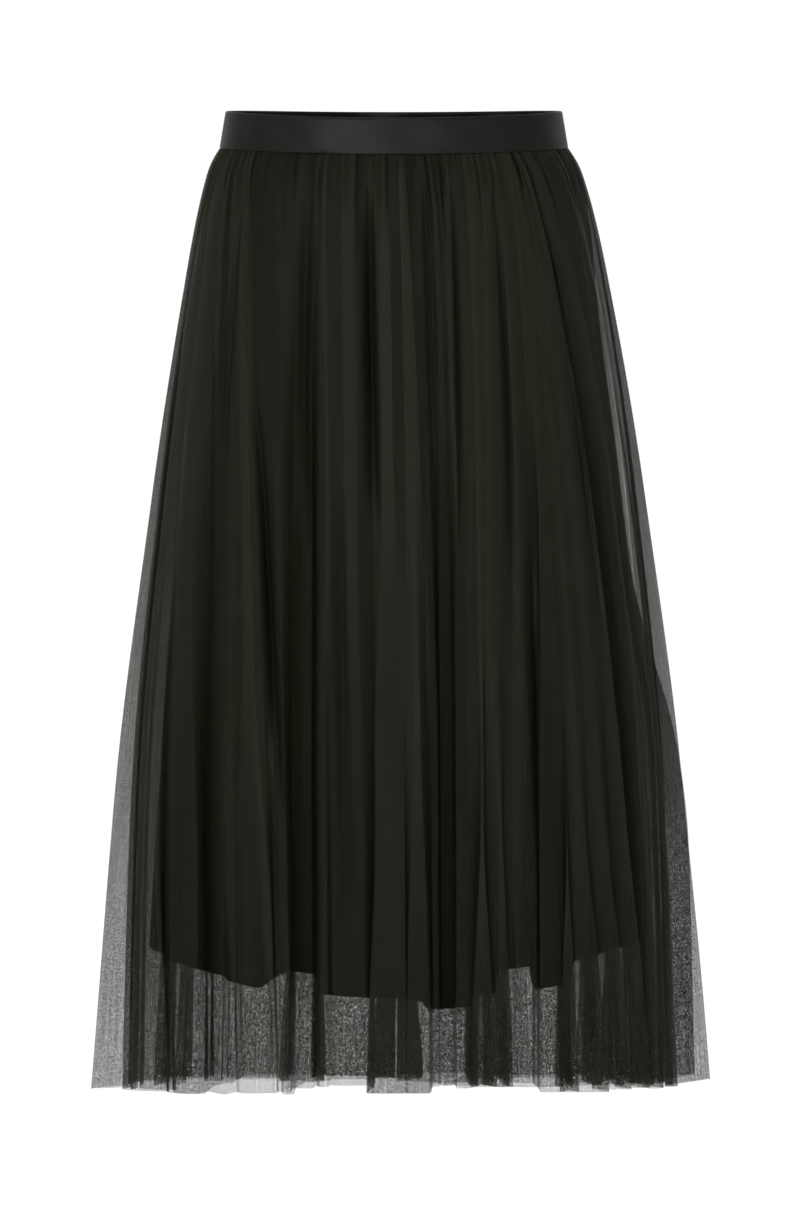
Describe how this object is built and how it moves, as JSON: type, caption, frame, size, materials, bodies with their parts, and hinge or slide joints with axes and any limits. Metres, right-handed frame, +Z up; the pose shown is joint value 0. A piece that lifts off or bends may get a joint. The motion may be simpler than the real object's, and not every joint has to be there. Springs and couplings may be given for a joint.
{
  "type": "tulle skirt",
  "caption": "Midi tulle skirt, filled out: smooth satin waistband, gathered sheer outer layers falling in loose flutes over a shorter opaque lining, open at waist and hem.",
  "frame": {"origin": "middle of the waist opening, half way up the waistband", "axes": "+Z up the wearer, -Y out of the front of the skirt, +X to the wearer's left"},
  "size_m": [0.5058, 0.346, 0.8018],
  "materials": {
    "satin": "smooth black satin, soft sheen",
    "tulle": "fine black net, see-through",
    "lining": "matt black woven lining"
  },
  "bodies": {
    "root": {"waistband_front": "satin", "waistband_back": "satin", "tulle_outer_front": "tulle", "tulle_outer_back": "tulle", "tulle_inner_front": "tulle", "tulle_inner_back": "tulle", "lining_front": "lining", "lining_back": "lining"}
  },
  "joints": []
}
